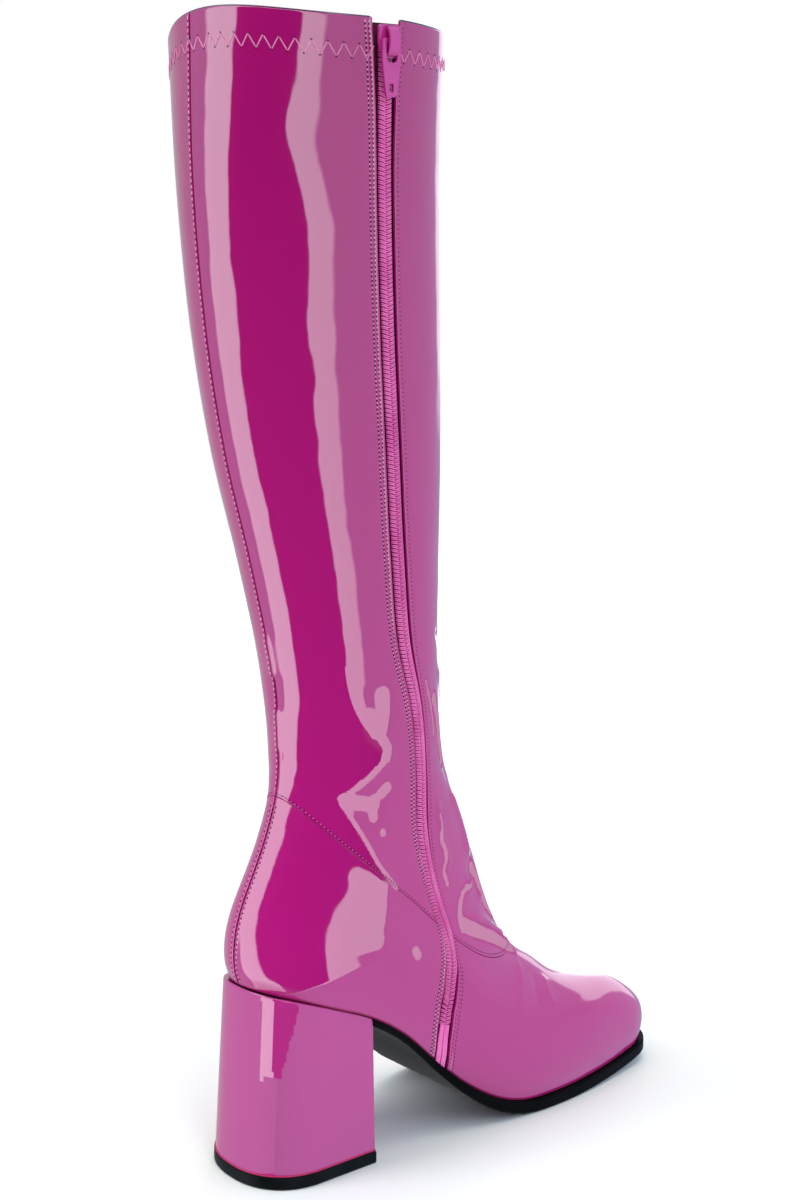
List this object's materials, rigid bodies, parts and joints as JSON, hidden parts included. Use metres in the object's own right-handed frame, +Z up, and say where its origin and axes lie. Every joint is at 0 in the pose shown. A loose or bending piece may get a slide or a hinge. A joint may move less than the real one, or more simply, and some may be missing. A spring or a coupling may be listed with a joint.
{
  "type": "knee boot",
  "caption": "Left knee-high boot in patent leather: shaft and upper on a last, inner side zip with a pull tab, block heel, thin sole with a ledge.",
  "frame": {"origin": "middle of the heel's underside, on the floor that the boot stands on", "axes": "+Z up, +X to the toe, +Y to the outer side of the foot, -Y to the inner side with the zip"},
  "size_m": [0.2586, 0.1226, 0.4874],
  "materials": {
    "outsole": "smooth black, half gloss",
    "heel_block": "patent wrap, high gloss",
    "top_lift": "black, satin",
    "insole": "matt footbed",
    "upper": "magenta patent, mirror gloss",
    "shaft": "magenta stretch patent, mirror gloss",
    "zip_tape": "woven tape",
    "zip_coil": "nylon coil, satin",
    "zip_slider": "enamelled",
    "zip_pull": "enamelled"
  },
  "bodies": {
    "boot": {"outsole": "outsole", "heel_block": "heel_block", "top_lift": "top_lift", "insole": "insole", "upper": "upper", "shaft": "shaft", "zip_tape": "zip_tape", "zip_coil": "zip_coil", "zip_slider": "zip_slider"},
    "pull": {"zip_pull": "zip_pull"}
  },
  "joints": [
    {"name": "pull_hinge", "type": "hinge", "parent": "boot", "child": "pull", "pos_m": [0.0115, -0.06095, 0.46588], "axis": [-0.9932, 0.0723, -0.0909], "range_deg": [0, 160]}
  ]
}
